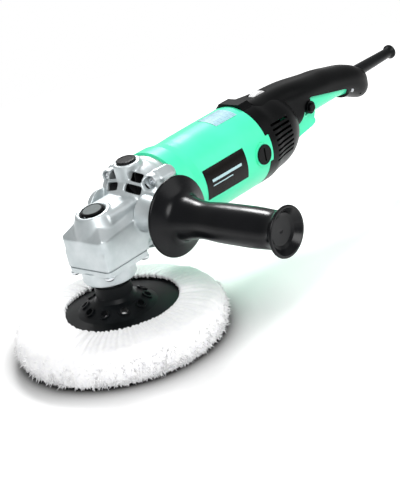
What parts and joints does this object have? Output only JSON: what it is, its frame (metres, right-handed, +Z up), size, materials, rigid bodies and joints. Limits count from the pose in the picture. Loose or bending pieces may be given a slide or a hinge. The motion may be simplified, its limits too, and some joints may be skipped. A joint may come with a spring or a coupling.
{
  "type": "rotary polisher",
  "caption": "Corded rotary polisher: cast gear head, mint motor housing, black rear handle with trigger, side handle, and a wool bonnet on a backing pad.",
  "frame": {"origin": "on the floor, at the centre of the bonnet's working face, on the spindle axis", "axes": "+Z up along the spindle, +X back along the motor axis to the rear handle, -Y along the side handle"},
  "size_m": [0.5481, 0.2779, 0.154],
  "materials": {
    "cast_aluminium": "shot-blasted die casting",
    "mint_abs": "glossy injection moulding",
    "black_plastic": "fine spark-eroded texture",
    "black_gloss": "polished moulding",
    "grey_plastic": "matt moulding",
    "white_plastic": "matt moulding",
    "black_rubber": "moulded rubber",
    "wool": "napped lambswool",
    "cotton_cord": "twisted cotton",
    "steel": "ground steel",
    "zinc_steel": "zinc plated",
    "dark_steel": "hardened and oiled",
    "silicon_steel": "varnished laminations",
    "copper": "enamelled copper",
    "bronze": "sintered bronze",
    "brass": "stamped brass",
    "carbon": "pressed carbon",
    "paper_gasket": "gasket paper",
    "nylon": "glass filled nylon",
    "label_black": "printed film",
    "label_silver": "printed film"
  },
  "bodies": {
    "root": {"gear_housing": "cast_aluminium", "bearing_plate": "cast_aluminium", "gearbox_gasket": "paper_gasket", "bearing_plate_screws": "zinc_steel", "gear_housing_screws": "zinc_steel", "top_hole_plug": "black_gloss", "lower_spindle_bearing": "steel", "upper_spindle_bush": "bronze", "spindle_seal": "black_rubber", "lock_button_spring": "steel", "motor_housing": "mint_abs", "stator_core": "silicon_steel", "field_coils": "copper", "air_baffle": "nylon", "front_armature_bearing": "steel", "front_bearing_retainer": "zinc_steel", "rear_armature_bearing": "steel", "brush_holders": "brass", "carbon_brushes": "carbon", "brush_springs": "steel", "brush_caps": "black_plastic", "side_label": "label_black", "rating_label": "label_silver", "handle_shell_left": "black_plastic", "handle_shell_right": "black_plastic", "handle_screws": "zinc_steel", "control_module": "nylon", "power_switch": "nylon", "cable_guard": "black_rubber", "cord_clamp": "nylon", "cord_clamp_screws": "zinc_steel", "side_handle_grip": "black_gloss", "side_handle_bolt": "zinc_steel", "trigger_pivot_pin": "steel", "trigger_spring": "steel", "lock_on_spring": "steel"},
    "spindle_unit": {"spindle": "steel", "crown_gear": "dark_steel", "crown_gear_circlip": "steel", "backing_pad": "black_rubber", "pad_hub_nut": "zinc_steel", "wool_bonnet": "wool", "bonnet_drawcord": "cotton_cord"},
    "armature_unit": {"armature_shaft": "steel", "armature_core": "silicon_steel", "armature_windings": "copper", "commutator": "copper", "cooling_fan": "nylon", "drive_pinion": "dark_steel", "pinion_nut": "steel"},
    "spindle_lock": {"spindle_lock_button": "black_plastic", "spindle_lock_cap": "grey_plastic", "spindle_lock_pin": "steel"},
    "trigger": {"trigger_paddle": "mint_abs", "lock_off_pin": "steel", "lock_off_spring": "steel"},
    "lock_off": {"lock_off_lever": "black_plastic"},
    "lock_on": {"lock_on_button": "black_plastic"},
    "plunger": {"switch_plunger": "white_plastic"},
    "dial": {"speed_dial": "white_plastic"}
  },
  "joints": [
    {"name": "spindle_spin", "type": "hinge", "parent": "root", "child": "spindle_unit", "pos_m": [0, 0, 0.071], "axis": [0, 0, 1], "continuous": true},
    {"name": "armature_spin", "type": "hinge", "parent": "root", "child": "armature_unit", "pos_m": [0.1, 0, 0.108], "axis": [1, 0, 0], "continuous": true},
    {"name": "spindle_lock_press", "type": "slide", "parent": "root", "child": "spindle_lock", "axis": [0, 0, -1], "range_m": [0, 0.0035], "stiffness_N_per_m": 900, "deforming": ["lock_button_spring"]},
    {"name": "trigger_squeeze", "type": "hinge", "parent": "root", "child": "trigger", "pos_m": [0.3565, 0, 0.105], "axis": [0, 1, 0], "range_deg": [0, 3], "stiffness_Nm_per_rad": 4, "springref_deg": -3.44, "deforming": ["trigger_spring"]},
    {"name": "lock_off_swing", "type": "hinge", "parent": "trigger", "child": "lock_off", "pos_m": [0.2884, 0, 0.0977], "axis": [0, 1, 0], "range_deg": [0, 5], "stiffness_Nm_per_rad": 0.08, "springref_deg": -2.86},
    {"name": "lock_on_press", "type": "slide", "parent": "root", "child": "lock_on", "axis": [0, 1, 0], "range_m": [0, 0.002], "stiffness_N_per_m": 800, "deforming": ["lock_on_spring"]},
    {"name": "plunger_travel", "type": "slide", "parent": "root", "child": "plunger", "axis": [0, 0, 1], "range_m": [0, 0.0032]},
    {"name": "speed_dial_turn", "type": "hinge", "parent": "root", "child": "dial", "pos_m": [0.2315, 0, 0.1366], "axis": [0, 1, 0], "range_deg": [0, 270]}
  ],
  "couplings": [
    {"joint": "armature_spin", "follows": "spindle_spin", "ratio": 3.5833},
    {"joint": "plunger_travel", "follows": "trigger_squeeze", "m_per_rad": 0.0535}
  ]
}
